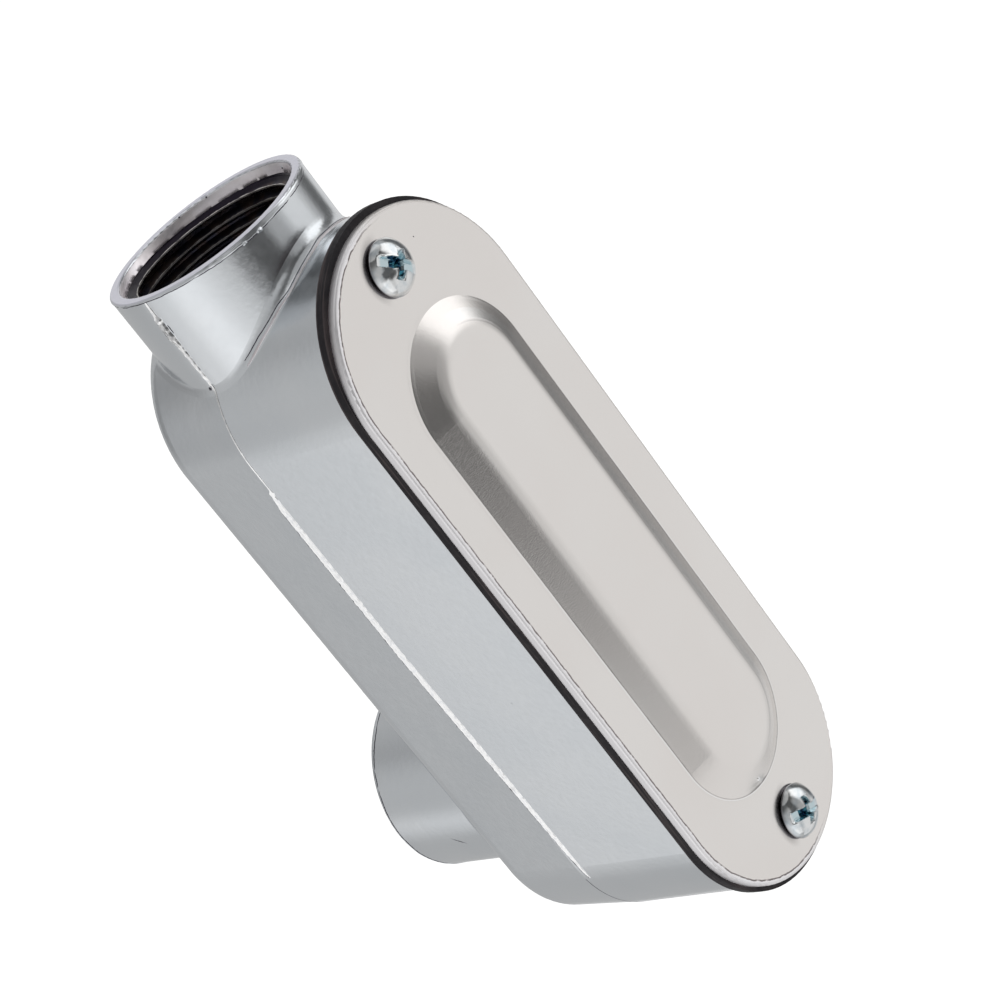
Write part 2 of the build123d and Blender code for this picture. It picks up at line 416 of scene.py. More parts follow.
def mouth_metal():
    """Bright, slightly rosy metal where the tap ran in to the hub."""
    material = new_material("mouth_metal")
    point = surface_point(material)
    clouds = noise_at(point, 300.0, 3.0)
    grain = noise_at(point, 1500.0, 3.0, 0.6)
    colour = two_tone(clouds, 0.35, 0.65, rgb(0.80, 0.75, 0.76), rgb(0.90, 0.86, 0.89))
    normal = bump(grain, 0.00003, 0.3)
    return finish(material, colour, by_noise(grain, 0.32, 0.42), normal)


def cut_thread():
    """Bright worn crests over flanks coloured with the bore's painted shade."""
    material = new_material("cut_thread")
    point = surface_point(material)
    hubs = hub_places(point)
    wear = noise_at(point, 700.0, 3.0, 0.6)
    edge = maths("ADD", by_noise(wear, *CREST_WEAR), THREAD_CREST_RADIUS)
    worn = []
    for distance, depth in hubs:
        near_axis = maths("LESS_THAN", distance, edge)
        in_bore = maths("LESS_THAN", depth, THREAD_END_DEPTH + CREST_END_MARGIN)
        worn.append(product(near_axis, in_bore))
    colour = blend(maths("MAXIMUM", *worn), painted_bore_shade(point, hubs), rgb(0.72, 0.69, 0.66))
    normal = bump(wear, 0.00004, 0.3)
    return finish(material, colour, by_noise(wear, 0.30, 0.42), normal)


def trimmed_metal():
    """Bare bright metal where flash was trimmed off."""
    material = new_material("trimmed_metal")
    tears = noise_at(surface_point(material), 1500.0, 3.0, 0.65)
    colour = two_tone(tears, 0.38, 0.5, rgb(0.86, 0.87, 0.89), grey(1.0))
    normal = bump(tears, 0.00004, 0.35)
    return finish(material, colour, by_noise(tears, 0.18, 0.30), normal)


def dark_marks_and_shade():
    """Dull near black: the colour of dark marks, and painted shade at the bottom of pits and
    torn spots and in thin lines beside ridges.
    """
    material = new_material("dark_marks_and_shade")
    dark_speckle = noise_at(surface_point(material), 2200.0, 3.0, 0.6)
    colour = two_tone(dark_speckle, 0.35, 0.65, rgb(0.05, 0.045, 0.06), rgb(0.20, 0.19, 0.22))
    normal = bump(dark_speckle, 0.00004, 0.4)
    return finish(material, colour, by_noise(dark_speckle, 0.45, 0.6), normal)


# The cover. Its marks, painted highlights and painted shade lie in bands along its own outline
# or along the foot that the raised panel has in the solids: where each starts and ends inwards
# of it, and how softly, in millimetres.

EDGE_LINE = (0.03, 0.16, 0.06)
EDGE_DIRT_AND_SHADE = (0.68, 0.84, 0.06)
FOOT_HIGHLIGHT = (0.34, 0.42, 0.05)
FOOT_SHADE = (0.54, 0.60, 0.06)
SHOULDER_HIGHLIGHT = (2.5, 3.9, 0.3)
SHOULDER_LINE = (4.2, 4.3, 0.12)
STRETCHED_METAL = (0.3, 4.6, 0.6)

SHEARED_END = (0.30 * MM, 0.50 * MM)
EDGE_HIGHLIGHT_END = (0.70 * MM, 0.80 * MM)
EDGE_WANDER = 0.07 * MM
LEFT_FADE = (-4.0 * MM, 5.0 * MM)  # where the marks of one side only fade to the other
RIGHT_FADE = (1.0 * MM, 5.0 * MM)
LOWER_FADE = (-70 * MM, -35 * MM)
SCREW_SHADOW_SIDE = (-0.86, 0.51)  # the side of each screw on which a shadow is painted on the cover
SCREW_SHADOW_REACH = (3.6 * MM, 5.4 * MM)
SCREW_SHADOW_START = (0.5 * MM, 3.6 * MM)

# A bump makes the soft bend at the panel's foot look like a crease
FOOT_BEND_WIDTH = 1.08 * MM
FOOT_BEND_RISE = 0.235 * MM
FOOT_CREASE = 0.56 * MM
OUTER_SIDE = 0.4 * MM  # the cover's inner side lies deeper than this


def inside_outline(point, half_width, half_run):
    """How far in from an upright round-ended outline, centred on the cover, a point lies."""
    x, _, z = split(point)
    from_middle = minus(z, (cover_high.z + cover_low.z) / 2)
    past_run = minus(maths("ABSOLUTE", from_middle), half_run)
    past_run = maths("MAXIMUM", past_run, 0.0)
    return minus(half_width, length_of(x, past_run))


def band(inward, ends, *shares):
    """1 in a band, fading to 0 on both sides of it, times the given shares."""
    low, high, softness = (end * MM for end in ends)
    return product(rising(inward, low - softness, low),
                   falling(inward, high, high + softness), *shares)


def cover_colour(point, inward, panel):
    """The cover's colour: faint clouds, and marks, painted highlights and painted shade at its
    edge, its panel and its screws.
    """
    x, _, z = split(point)
    on_left = falling(x, *LEFT_FADE)
    on_right = rising(x, *RIGHT_FADE)
    low_down = falling(z, *LOWER_FADE)
    breaks = noise_at(point, 650.0, 3.0, 0.7)
    broken = rising(breaks, 0.36, 0.46, 0.35, 0.95)
    worn = rising(noise_at(point, 200.0), 0.35, 0.6, 0.45, 0.9)
    uneven = maths("ADD", inward, by_noise(breaks, -EDGE_WANDER, EDGE_WANDER))
    # Painted highlight: the left edge and its roll are painted near white
    rolled_edge_highlight = product(falling(inward, *EDGE_HIGHLIGHT_END), on_left)
    marks_and_painted_light = [
        (rolled_edge_highlight, rgb(1.0, 0.985, 1.0)),
        # A broken dark line inside the left edge: partly brown dirt, partly painted shade where
        # the edge's roll meets the face
        (band(uneven, EDGE_DIRT_AND_SHADE, on_left, broken), rgb(0.22, 0.19, 0.19)),
        (band(uneven, EDGE_LINE, on_right, 0.45), rgb(0.42, 0.41, 0.42)),
        # Painted shade: a dark line in the crease at the panel's foot, low on the cover
        (band(panel, FOOT_SHADE, worn, low_down), rgb(0.34, 0.32, 0.32)),
        # Painted highlight: a light line beside the crease at the panel's foot
        (band(panel, FOOT_HIGHLIGHT, low_down), rgb(0.98, 0.97, 0.96)),
        # Painted highlight: a light band on the right of the panel's shoulder
        (band(panel, SHOULDER_HIGHLIGHT, on_right, 0.6), rgb(1.0, 0.99, 0.98)),
        (band(panel, SHOULDER_LINE, on_right, worn, 0.4), rgb(0.42, 0.41, 0.42)),
    ]
    # Painted shadow on the cover beside each screw head
    for screw_z in SCREW_PLACES:
        above = minus(z, screw_z)
        toward = maths("ADD", product(x, SCREW_SHADOW_SIDE[0]), product(above, SCREW_SHADOW_SIDE[1]))
        screw_shadow = product(falling(length_of(x, above), *SCREW_SHADOW_REACH, 0.75),
                         rising(toward, *SCREW_SHADOW_START))
        marks_and_painted_light.append((screw_shadow, rgb(0.14, 0.13, 0.13)))
    colour = two_tone(noise_at(point, 40.0), 0.35, 0.65,
                      rgb(0.90, 0.862, 0.834), rgb(0.915, 0.885, 0.86))
    for share, mark in marks_and_painted_light:
        colour = blend(share, colour, mark)
    return colour


def stamped_cover():
    material = new_material("satin_stamped_cover")
    point = surface_point(material)
    half_width = (cover_high.x - cover_low.x) / 2
    half_run = (cover_high.z - cover_low.z) / 2 - half_width
    inward = inside_outline(point, half_width, half_run)
    panel = inside_outline(point, PANEL_HALF_WIDTH, PANEL_HALF_RUN)
    grain = noise_at(point, 2500.0, 2.0, 0.6)
    sheared = falling(inward, *SHEARED_END)
    stretched = band(panel, STRETCHED_METAL)
    roughness = by_noise(grain, 0.16, 0.20)
    roughness = maths("ADD", roughness, product(sheared, 0.34))
    roughness = maths("ADD", roughness, product(stretched, 0.04))
    peel = minus(noise_at(point, 4500.0, 2.0, 0.6), 0.5)
    bend = maths("DIVIDE", panel, FOOT_BEND_WIDTH, clamp=True)
    past_crease = maths("DIVIDE", minus(panel, FOOT_CREASE), FOOT_BEND_WIDTH - FOOT_CREASE,
                        clamp=True)
    outside = maths("LESS_THAN", split(point)["Y"], COVER_FACE_Y + OUTER_SIDE)
    crease = product(outside, minus(past_crease, product(bend, bend)))
    normal = bump(grain, 0.00002, 0.04)
    normal = bump(crease, FOOT_BEND_RISE, 1.0, normal)
    normal = bump(product(peel, stretched), 0.00004, 0.22, normal)
    return finish(material, cover_colour(point, inward, panel), roughness, normal)


def black_rubber():
    material = new_material("black_rubber")
    point = surface_point(material)
    grain = noise_at(point, 1800.0, 3.0, 0.6)
    dust = noise_at(point, 160.0, 3.0, 0.6)
    drawn_out = node_after("ShaderNodeMapping", {
        "Vector": point, "Scale": (90.0, 3200.0, 90.0),
    }).outputs[0]
    streaks = noise_at(drawn_out, 1.0)
    colour = two_tone(dust, 0.45, 0.75, rgb(0.020, 0.017, 0.021), rgb(0.048, 0.042, 0.045))
    streaked = rising(streaks, 0.52, 0.64, 0.0, 0.7)
    colour = blend(streaked, colour, rgb(0.12, 0.095, 0.095))
    normal = bump(grain, 0.00005, 0.4)
    return finish(material, colour, by_noise(grain, 0.5, 0.65), normal, 0.0, specular=0.3)


# The plating's zones: by the height over the head's seat, the distance from the screw's axis
# and the depth under the dome, or under the slot's floor

HEAD_FOOT = 0.2 * MM
SHADED_FOOT = (0.15 * MM, 1.05 * MM)
SHADED_RIM = (3.0 * MM, 3.3 * MM)
RECESS_END = (2.6 * MM, 3.2 * MM)
SLOT_TINT = (0.2 * MM, 0.6 * MM)
CROSS_TINT_AND_SHADE = (0.05 * MM, 0.25 * MM)


def zinc_plating(axis_z):
    """Blue-clear zinc, with teal and navy passivation deep in the recess darkened as painted
    shade, and painted shade round the head's foot.
    """
    material = new_material("zinc_plating")
    point = surface_point(material)
    x, y, z = split(point)
    radius = length_of(x, minus(z, axis_z))
    drop = maths("DIVIDE", product(radius, radius), 2 * HEAD_DOME_RADIUS)
    crown = COVER_FACE_Y - HEAD_HEIGHT
    below = minus(minus(y, crown), drop)
    above_seat = minus(COVER_FACE_Y, y)
    in_head = maths("LESS_THAN", y, COVER_FACE_Y - HEAD_FOOT)
    in_recess = falling(radius, *RECESS_END)
    clouds = noise_at(point, 500.0, 3.0)
    patches = noise_at(point, 1500.0)
    grain = noise_at(point, 3000.0, 2.0, 0.6)
    colour = two_tone(clouds, 0.4, 0.7, rgb(0.86, 0.87, 0.87), rgb(0.60, 0.66, 0.70))
    shaded = product(falling(above_seat, *SHADED_FOOT), rising(radius, *SHADED_RIM))
    colour = blend(shaded, colour, rgb(0.16, 0.16, 0.18))
    slot = product(rising(below, *SLOT_TINT), in_head, in_recess)
    colour = blend(slot, colour, rgb(0.60, 0.72, 0.76))
    # Deep in the recess: teal and navy passivation, darkened as painted shade
    recess_tint_and_shade = two_tone(patches, 0.4, 0.6, rgb(0.03, 0.08, 0.16), rgb(0.07, 0.26, 0.32))
    deep_start, deep_end = (SLOT_DEPTH + depth for depth in CROSS_TINT_AND_SHADE)
    deep = product(rising(below, deep_start, deep_end), in_head, in_recess)
    colour = blend(deep, colour, recess_tint_and_shade)
    normal = bump(clouds, 0.00010, 0.35)
    normal = bump(grain, 0.00002, 0.2, normal)
    return finish(material, colour, by_noise(grain, 0.07, 0.13), normal)


def dress(piece, material):
    piece.data.materials.clear()
    piece.data.materials.append(material)


# Mesh helpers

def wobble(x, y=0.0, z=0.0):
    """Smooth noise between -1 and 1 that is the same in each run."""
    return noise.noise(Vector((x, y, z)))


def between(value, low, high):
    """How far value has come from low to high, from 0 to 1, eased at both ends."""
    share = min(1.0, max(0.0, (value - low) / (high - low)))
    return share * share * (3 - 2 * share)


def from_table(rows, key):
    """Values between the rows of a table whose first column rises."""
    if key <= rows[0][0]:
        return rows[0][1:]
    for before, after in zip(rows, rows[1:]):
        if key <= after[0]:
            share = (key - before[0]) / (after[0] - before[0])
            return tuple(a + (b - a) * share for a, b in zip(before[1:], after[1:]))
    return rows[-1][1:]


def surface_tree(node):
    mesh = node.data
    mesh.calc_loop_triangles()
    corners = [vertex.co.copy() for vertex in mesh.vertices]
    return BVHTree.FromPolygons(corners, [tuple(t.vertices) for t in mesh.loop_triangles])


def add_piece(name, points, faces, body, material, sharp_angle=40):
    mesh = bpy.data.meshes.new(name)
    mesh.from_pydata(points, [], faces)
    mesh.validate()
    edit = bmesh.new()
    edit.from_mesh(mesh)
    bmesh.ops.recalc_face_normals(edit, faces=edit.faces)
    edit.to_mesh(mesh)
    edit.free()
    mesh.shade_smooth()
    mesh.set_sharp_from_angle(angle=math.radians(sharp_angle))
    piece = bpy.data.objects.new(name, mesh)
    bpy.context.scene.collection.objects.link(piece)
    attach(piece, body)
    dress(piece, material)
    return piece


def sweep_faces(rings, size, closed=False):
    """Faces of a tube of rings, each of size points: a loop, or capped at both ends."""
    faces = []
    for ring in range(rings if closed else rings - 1):
        here = ring * size
        there = (ring + 1) % rings * size
        for k in range(size):
            after = (k + 1) % size
            faces.append((here + k, here + after, there + after, there + k))
    if not closed:
        faces.append(tuple(reversed(range(size))))
        faces.append(tuple(range((rings - 1) * size, rings * size)))
    return faces


def add_ridge(name, stations, material, closed=False, sharp_angle=25):
    """A tube on the casting, through stations. Each is a place, its outward and sideways
    directions, and a section: a ring of points, each a distance sideways and a height
    outwards."""
    points = []
    for place, outward, sideways, section in stations:
        for across, height in section:
            points.append(place + sideways * across + outward * height)
    faces = sweep_faces(len(stations), len(stations[0][3]), closed)
    add_piece(name, points, faces, "casting", material, sharp_angle)


def in_mm(section):
    """The section with its millimetres turned into metres."""
    return [(across * MM, height * MM) for across, height in section]


def side_direction(axis, start_side, angle):
    """The direction square to the axis that lies at the angle from the start side."""
    first = Vector(start_side)
    return first * math.cos(angle) + Vector(axis).cross(first) * math.sin(angle)


# Pipe threads inside the hubs

THREAD_CREST_RADIUS = 12.15 * MM
THREAD_PITCH = 25.4 / 14 * MM
MOUTH_BAND_DEPTH = 1.35 * MM  # below it the bore narrows to the thread's root
THREAD_STEPS = 96  # stations in one turn
THREAD_RUN_OUT = 0.2  # turns over which a thread's end fades away
THREAD_TOP = THREAD_START_DEPTH - 0.33 * THREAD_PITCH
THREAD_BOTTOM = THREAD_END_DEPTH - 0.35 * THREAD_PITCH
THREAD_CREST_WIDTH = 0.20 * MM
THREAD_UNEVENNESS = 0.03 * MM
THREAD_END_SHARE = 0.02  # share of the height that its very ends keep
THREAD_SINK = 0.12 * MM  # how far the ridge's foot lies inside the wall
THREAD_FLANK = math.tan(math.radians(30))


def thread_ridge(name, origin, along, start_side, material):
    """A helical ridge in a bore whose mouth is at origin. along points into the bore."""
    along = Vector(along)
    turns = (THREAD_BOTTOM - THREAD_TOP) / THREAD_PITCH
    count = int(turns * THREAD_STEPS) + 1
    stations = []
    for station in range(count):
        turn = turns * station / (count - 1)
        angle = turn * 2 * math.pi
        fade = min(1.0, turn / THREAD_RUN_OUT, (turns - turn) / THREAD_RUN_OUT)
        depth = THREAD_TOP + turn * THREAD_PITCH
        widest = THREAD_START_DEPTH - depth + THREAD_PITCH / 2
        widening = min(MOUTH_RADIUS - THREAD_ROOT_RADIUS, max(0.0, widest))
        foot_radius = THREAD_ROOT_RADIUS + widening + THREAD_SINK
        height = (foot_radius - THREAD_CREST_RADIUS) * max(fade, THREAD_END_SHARE)
        height -= THREAD_UNEVENNESS * wobble(3 * angle, 5.0) * fade
        half_foot = THREAD_CREST_WIDTH / 2 + (height - widening) * THREAD_FLANK
        half_foot = max(half_foot, THREAD_CREST_WIDTH)
        outward = side_direction(along, start_side, angle)
        place = Vector(origin) + outward * foot_radius + along * depth
        section = ((-half_foot, 0), (-THREAD_CREST_WIDTH / 2, height),
                   (THREAD_CREST_WIDTH / 2, height), (half_foot, 0))
        stations.append((place, -outward, along, section))
    add_ridge(name, stations, material)


# The bright tapered mouth above the thread: the distance from the axis and the depth of each
# corner of its section, in millimetres

MOUTH_STEPS = 240
MOUTH_TAPER = (
    (14.05, 0.28), (13.86, 0.29), (13.80, 0.34), (13.60, 0.85), (13.38, 1.36), (13.40, 1.40),
    (13.80, 1.44), (14.05, 1.44),
)
MOUTH_TAPER_SPREAD = 0.42  # how much deeper it reaches on the side where it is deepest
MOUTH_TAPER_UPPER = (0, 1, 2)  # the corners that keep their depth all round
MOUTH_TAPER_RAGGED = (4, 5)  # the corners of its ragged lower edge


def tapered_mouth(name, origin, along, deepest_side, material):
    along = Vector(along)
    stations = []
    for step in range(MOUTH_STEPS):
        outward = side_direction(along, deepest_side, 2 * math.pi * step / MOUTH_STEPS)
        deeper = MOUTH_TAPER_SPREAD * max(0.0, outward.dot(Vector(deepest_side))) ** 2
        section = []
        for index, (radius, depth) in enumerate(MOUTH_TAPER):
            if index not in MOUTH_TAPER_UPPER:
                depth += deeper
            if index in MOUTH_TAPER_RAGGED:
                radius += 0.03 * wobble(*(outward * 9))
                depth += 0.05 * wobble(*(outward * 6 + Vector((0, 0, 8))))
            section.append((radius, depth))
        stations.append((Vector(origin), along, outward, in_mm(section)))
    add_ridge(name, stations, material, closed=True, sharp_angle=50)


# The ragged collar that the die left round each hub's mouth. For each angle round the upper
# hub, in degrees from +X towards +Y: how far down it reaches, in millimetres.

COLLAR_STEPS = 540
COLLAR_TABLE = (
    (-180.0, 0.30), (-150.0, 0.50), (-120.0, 0.80), (-90.0, 0.85), (-45.0, 0.75),
    (0.0, 0.50), (45.0, 0.35), (180.0, 0.30),
)
COLLAR_TOP_INSET = 0.27  # the collar starts inside the rounded rim
COLLAR_STAND_OUT = 0.075
COLLAR_SHADOW_HEIGHT = 0.13  # the painted shadow line under the collar
COLLAR_SHADOW_SINK = 0.1
COLLAR_SHADOW_OVERLAP = 0.05  # how far up it goes behind the collar's edge


def mouth_collar(name, origin, out_of_mouth, metal, dark_line):
    """The collar round one hub's mouth, and a thin painted shadow line under its ragged edge."""
    out_of_mouth = Vector(out_of_mouth)
    collar = []
    shadow_line = []
    for step in range(COLLAR_STEPS):
        degrees = -180 + 360 * step / COLLAR_STEPS
        outward = side_direction(out_of_mouth, (1, 0, 0), math.radians(degrees))
        place = Vector(origin) + outward * HUB_RADIUS
        depth = from_table(COLLAR_TABLE, degrees)[0]
        depth += 0.10 * wobble(*(outward * 5)) + 0.05 * wobble(*(outward * 33))
        swell = COLLAR_STAND_OUT * (0.9 + 0.5 * wobble(*(outward * 12)))
        section = in_mm((
            (-COLLAR_TOP_INSET - 0.15, -0.12), (-COLLAR_TOP_INSET, -0.02),
            (-0.10, -0.03 - 0.12 * depth), (swell * 0.7, -0.6 * depth),
            (swell, -0.92 * depth), (swell * 0.6, -depth), (-0.12, -depth - 0.02),
        ))
        collar.append((place, out_of_mouth, outward, section))
        # Painted shadow: a near-black line under the collar's ragged edge
        strength = between(wobble(*(outward * 7 + Vector((4, 0, 0)))), -0.6, -0.1)
        top = -depth + COLLAR_SHADOW_OVERLAP
        bottom = -depth - COLLAR_SHADOW_HEIGHT * (0.35 + 0.65 * strength)
        reach = 0.035 * strength - 0.015
        section = in_mm((
            (-COLLAR_SHADOW_SINK, top), (reach, top), (reach, bottom), (-COLLAR_SHADOW_SINK, bottom)))
        shadow_line.append((place, out_of_mouth, outward, section))
    add_ridge(name + "_mouth_collar", collar, metal, closed=True, sharp_angle=35)
    add_ridge(name + "_collar_shadow_line", shadow_line, dark_line, closed=True)


# Flash along the parting line of the die halves, trimmed to a ragged ridge. For the height
# of each place on the casting below the upper mouth: the ridge's width, how high it stands
# and how far its middle lies behind the parting plane, all in millimetres.

FLASH_STEP = 0.2
FLASH_TOP = -0.4
FLASH_SINK = 0.12
FLASH_LIMIT = 0.115  # the ridge stays inside the part's width
FLASH_LIMIT_START = 17  # from the middle outwards; the hub's sides lie nearer
FLASH_SHADOW_TOP = -33.0
FLASH_SHADOW_WIDTH = 0.14
FLASH_SHADOW_OVERLAP = 0.05
LOWER_LINE_STEPS = 260
LOWER_LINE_START = 188  # degrees on the lower arc
LOWER_LINE_SWEEP = 164
LOWER_LINE_SINK = 0.10
LOWER_LINE_HEIGHT = 0.010
RAY_SIDE = 25  # where rays towards the body start
RAY_ARC_RADIUS = 30
RAY_PLANE = -0.05  # they run just in front of the parting plane
PARTING_HALF_WIDTH = 18.77
PARTING_UPPER_ARC = -25.87
PARTING_LOWER_ARC = -102.41
HUB_SIDE_END = -13.2
SHOULDER_START = 39.0  # degrees above the horizontal, on the upper arc
FLASH_TABLE = (
    (-105.2, 0.20, 0.02, -1.0),
    (-103.5, 0.45, 0.06, -0.95),
    (-99.0, 0.85, 0.10, -0.75),
    (-83.0, 1.15, 0.115, -0.3),
    (-60.0, 1.25, 0.115, 0.4),
    (-33.0, 1.25, 0.115, 0.4),
    (-32.2, 0.95, 0.10, 0.3),
    (-30.8, 0.80, 0.10, 0.2),
    (-30.3, 1.00, 0.115, 0.1),
    (-29.8, 0.35, 0.05, 0.0),
    (-15.8, 0.35, 0.05, 0.0),
    (-15.0, 0.60, 0.12, 0.0),
    (-14.2, 0.60, 0.12, 0.0),
    (-7.6, 0.80, 0.20, 0.0),
    (-6.6, 1.00, 0.34, 0.1),
    (-3.4, 1.10, 0.38, 0.1),
    (-2.6, 0.70, 0.14, 0.1),
    (-0.4, 0.45, 0.06, 0.0),
)
# In shares of the ridge's width and height; -1 is its foot
FLASH_SECTION = (
    (-0.52, -1), (-0.28, 0.95), (-0.26, 0.15), (-0.04, 1.0), (-0.02, 0.2), (0.20, 0.95),
    (0.22, 0.15), (0.43, 0.95), (0.45, 0.5), (0.52, -1),
)


def side_ray(z):
    """A ray towards the left side, as its start and direction."""
    return Vector((-RAY_SIDE, RAY_PLANE, z)), Vector((1, 0, 0))


def arc_ray(middle_z, angle):
    """A ray towards the middle of one of the outline's arcs, as its start and direction."""
    toward = Vector((-math.cos(angle), 0, -math.sin(angle)))
    return Vector((0, RAY_PLANE, middle_z)) - toward * RAY_ARC_RADIUS, toward


def parting_path(side):
    """Rays towards the casting, about a flash step apart, down its left side (-1) or its
    right side (1)."""
    arc_step = FLASH_STEP / PARTING_HALF_WIDTH
    shoulder = math.radians(180 - SHOULDER_START)
    rays = [side_ray(FLASH_TOP - step * FLASH_STEP)
            for step in range(round((FLASH_TOP - HUB_SIDE_END) / FLASH_STEP))]
    rays += [arc_ray(PARTING_UPPER_ARC, shoulder + step * arc_step)
             for step in range(int((math.pi - shoulder) / arc_step))]
    rays += [side_ray(PARTING_UPPER_ARC - step * FLASH_STEP)
             for step in range(int((PARTING_UPPER_ARC - PARTING_LOWER_ARC) / FLASH_STEP))]
    rays += [arc_ray(PARTING_LOWER_ARC, math.pi + step * arc_step)
             for step in range(int((PARTING_LOWER_ARC - FLASH_TABLE[0][0]) / FLASH_STEP))]
    return [(Vector((-side * a.x, a.y, a.z)), Vector((-side * d.x, d.y, d.z))) for a, d in rays]


def parting_flash(name, side, casting, metal, dark_line):
    """The ridge of flash on one side, and the fine painted shadow line behind it."""
    stations = []
    shadow_stations = []
    for index, (start, toward) in enumerate(parting_path(side)):
        hit = casting.ray_cast(start * MM, toward)[0]
        if hit is None:
            continue
        run = index * FLASH_STEP + 200 * (side + 1)
        width, height, middle = from_table(FLASH_TABLE, hit.z / MM)
        tear = wobble(run * 0.45, 3.0) + 0.6 * wobble(run * 1.6, 8.0)
        height *= 0.35 + 0.65 * between(tear, -0.75, -0.25)
        width *= 1.0 + 0.22 * wobble(run * 1.3, 11.0)
        section = []
        for k, (across, share) in enumerate(FLASH_SECTION):
            jag = 0.06 * width * wobble(run * 1.9, (k + 1) // 2 * 5.3, 1.0)
            rise = -FLASH_SINK
            if share > 0:
                rise = height * share * (1 + 0.4 * wobble(run * 1.7, k * 3.7, 20.0))
                if abs(hit.x) > FLASH_LIMIT_START * MM:
                    rise = min(rise, FLASH_LIMIT)
            section.append((middle + across * width + jag, rise))
        place = Vector((hit.x, 0, hit.z))
        stations.append((place, -toward, Vector((0, 1, 0)), in_mm(section)))
        # Painted shadow: a fine dark line behind the lower part of the ridge
        if hit.z < FLASH_SHADOW_TOP * MM:
            edge = middle + 0.47 * width
            near = edge - FLASH_SHADOW_OVERLAP
            far = edge + FLASH_SHADOW_WIDTH * (1 + 0.4 * wobble(run * 0.8, 31.0))
            shadow_section = in_mm((
                (near, -FLASH_SINK), (near, 0.02), (far, 0.008), (far, -FLASH_SINK)))
            shadow_stations.append((place, -toward, Vector((0, 1, 0)), shadow_section))
    add_ridge(name + "_parting_flash", stations, metal, sharp_angle=14)
    add_ridge(name + "_flash_shadow_line", shadow_stations, dark_line)


def lower_parting_line(casting, dark_line):
    """The fine dark line where the die halves met round the casting's lower end."""
    stations = []
    for step in range(LOWER_LINE_STEPS + 1):
        angle = math.radians(LOWER_LINE_START + LOWER_LINE_SWEEP * step / LOWER_LINE_STEPS)
        start, toward = arc_ray(PARTING_LOWER_ARC, angle)
        hit = casting.ray_cast(start * MM, toward)[0]
        if hit is not None:
            half = 0.05 + 0.02 * wobble(step * 0.21, 70.0)
            section = in_mm((
                (-half, -LOWER_LINE_SINK), (-half, LOWER_LINE_HEIGHT),
                (half, LOWER_LINE_HEIGHT), (half, -LOWER_LINE_SINK)))
            stations.append((Vector((hit.x, 0, hit.z)), -toward, Vector((0, 1, 0)), section))
    add_ridge("lower_parting_line", stations, dark_line)


# A fine bead where the upper hub's blend runs out on the body's end. For each angle to the
# side from straight ahead, in degrees: the bead's distance from the hub's axis in millimetres.

BEAD_STEP = 0.6  # degrees
BEAD_RAY_START = -0.6  # rays start at this height beside the hub and go down
BEAD_SMOOTHING = 2  # neighbours on each side that steady a place
BEAD_END = 12  # places over which each end thins out
BEAD_TABLE = (
    (0.0, 16.6), (8.0, 16.75), (28.0, 16.75), (36.0, 16.3), (44.0, 16.15), (52.0, 15.95),
    (66.0, 15.85),
)
BEAD_SECTION = ((-0.27, -0.08), (-0.17, 0.06), (0.0, 0.12), (0.17, 0.06), (0.27, -0.08))
# The dark line beside the bead, on the hub's side, is painted shade
SHADOW_LINE_SECTION = ((-0.10, -0.08), (-0.08, 0.012), (0.0, 0.016), (0.08, 0.012), (0.10, -0.08))
SHADOW_LINE_OFFSET = -0.33


def blend_bead(name, casting, profile, offset, material):
    """A fine ridge along the blend's end, or offset millimetres outside it."""
    reach = BEAD_TABLE[-1][0]
    hits = []
    for step in range(int(2 * reach / BEAD_STEP) + 1):
        side = step * BEAD_STEP - reach
        radius = from_table(BEAD_TABLE, abs(side))[0] + offset
        angle = math.radians(side - 90)
        start = Vector((radius * math.cos(angle), radius * math.sin(angle), BEAD_RAY_START)) * MM
        hit, normal, _, _ = casting.ray_cast(start, Vector((0, 0, -1)))
        if hit is not None:
            hits.append((hit, normal))
    stations = []
    for index in range(BEAD_SMOOTHING, len(hits) - BEAD_SMOOTHING):
        around = hits[index - BEAD_SMOOTHING:index + BEAD_SMOOTHING + 1]
        outward = sum((normal for _, normal in around), Vector()).normalized()
        along = (around[-1][0] - around[0][0]).normalized()
        sideways = outward.cross(along).normalized()
        place = sum((hit for hit, _ in around), Vector()) / len(around)
        from_end = min(index, len(hits) - 1 - index) / BEAD_END
        size = min(1.0, from_end) * (0.9 + 0.3 * wobble(index * 0.35, 40.0))
        section = in_mm((across * (0.6 + 0.4 * size), height * size if height > 0 else height)
                        for across, height in profile)
        stations.append((place, outward, sideways, section))
    add_ridge(name, stations, material)


# Small lumps of metal and dark pits, left by the die and the trimming: each has its middle
# and its half sizes in millimetres

RIM_BURRS = (
    ((-5.35, -14.44, -0.80), (0.55, 0.26, 0.30)),
    ((-7.69, -13.34, -0.78), (0.45, 0.28, 0.26)),
    ((12.5, -5.9, -0.97), (0.22, 0.40, 0.35)),
    ((-6.1, 14.15, -0.60), (0.40, 0.22, 0.24)),
)
CAST_SPECKS = (
    ((-18.42, -19.4, -88.5), (0.10, 0.16, 0.22)),
    ((-18.44, -20.0, -89.4), (0.10, 0.14, 0.14)),
    ((-18.58, -11.3, -71.6), (0.10, 0.14, 0.14)),
)
